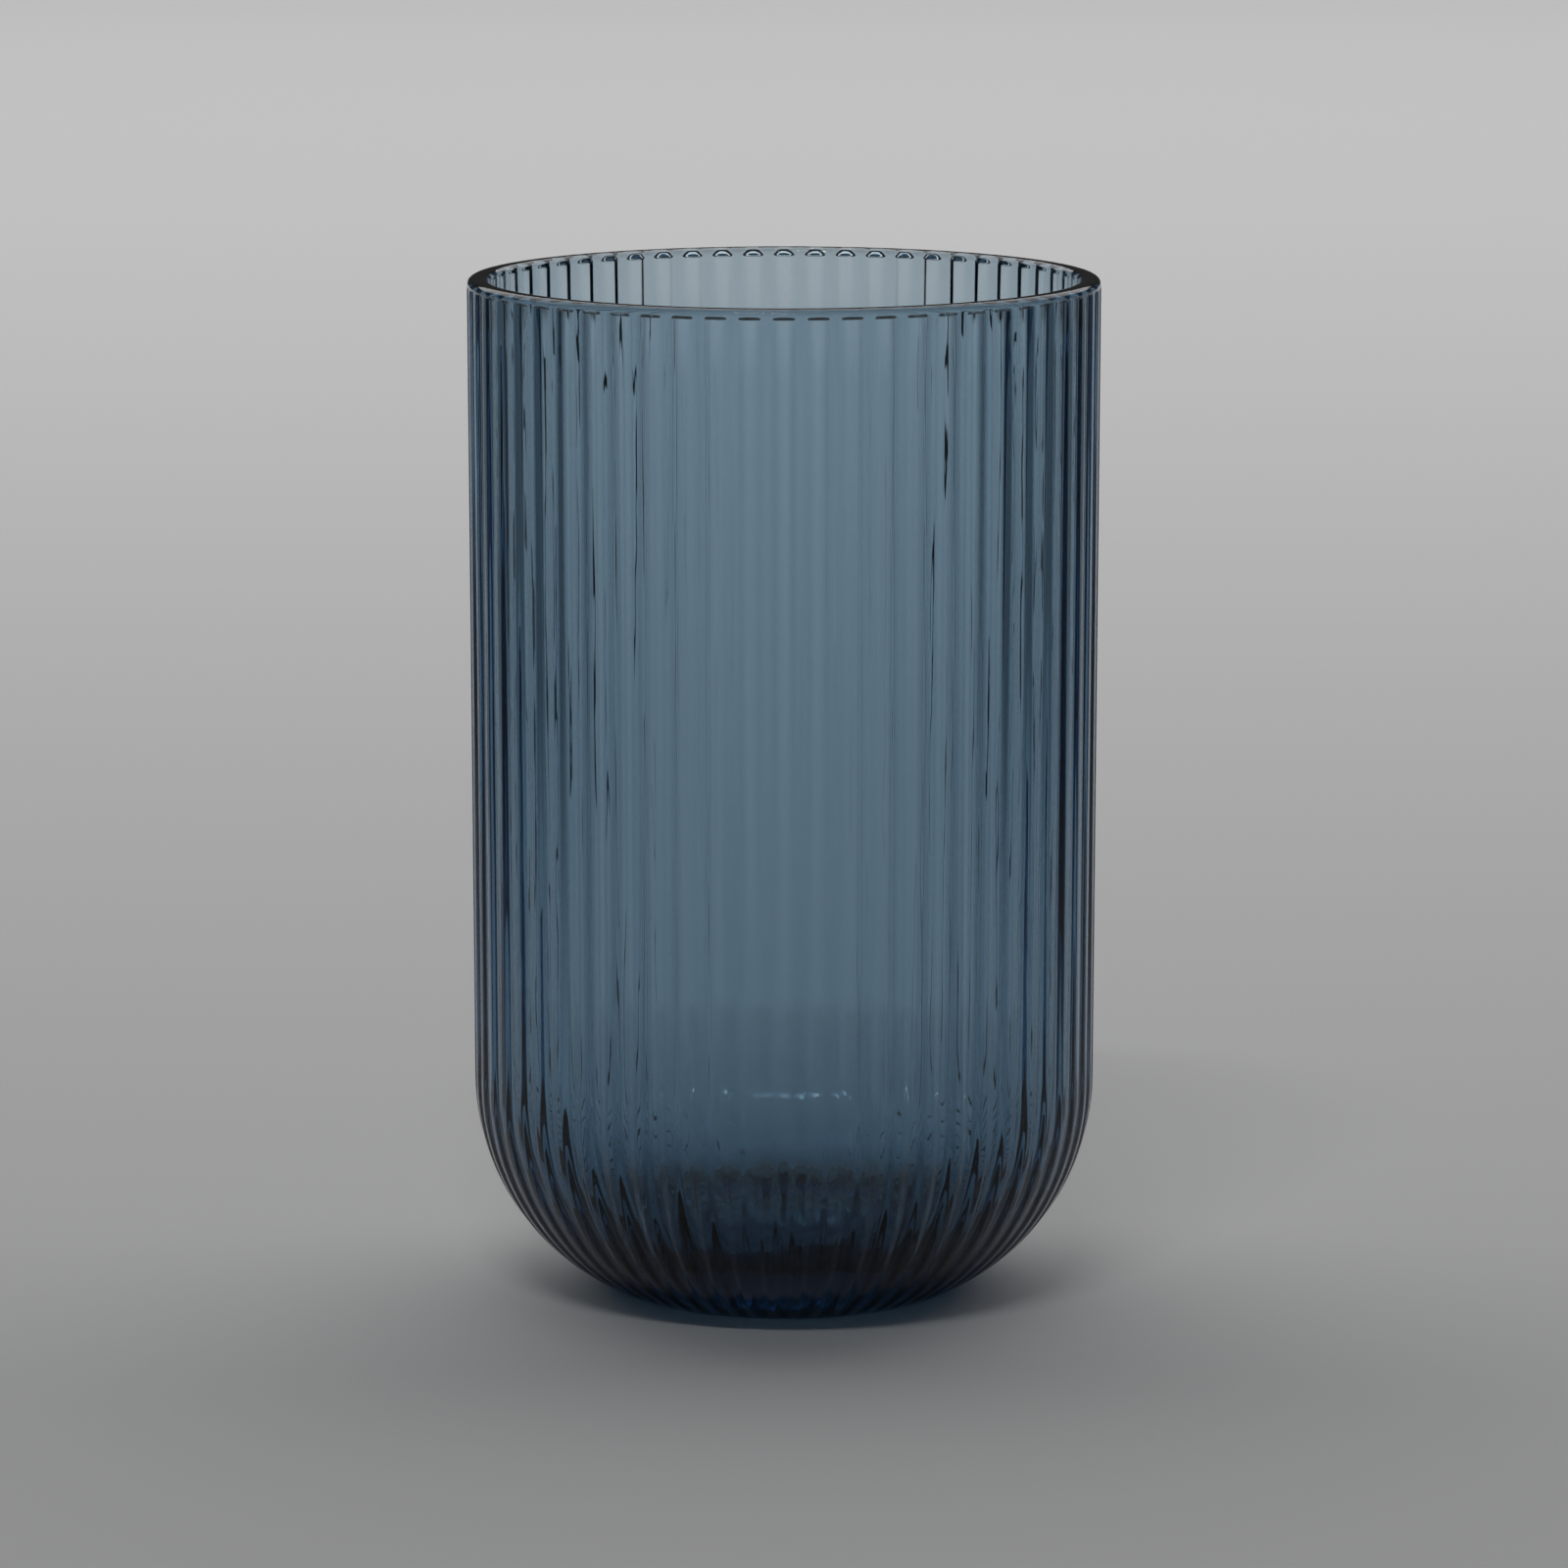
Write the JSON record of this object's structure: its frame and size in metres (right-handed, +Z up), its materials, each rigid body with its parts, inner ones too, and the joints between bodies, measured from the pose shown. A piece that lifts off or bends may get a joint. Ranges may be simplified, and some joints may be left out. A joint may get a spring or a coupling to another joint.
{
  "type": "glass vase",
  "caption": "Straight-walled clear blue glass vase with fine vertical ribs, a plain round lip, a round heel and a small flat foot.",
  "frame": {"origin": "centre of the resting plane, on the axis of the vase", "axes": "+Z up along the axis of the vase, from the foot to the mouth"},
  "size_m": [0.09, 0.09, 0.146],
  "materials": {
    "blue_glass": "clear slate-blue glass, fire-polished, tinted through"
  },
  "bodies": {
    "root": {"glass_body": "blue_glass"}
  },
  "joints": []
}
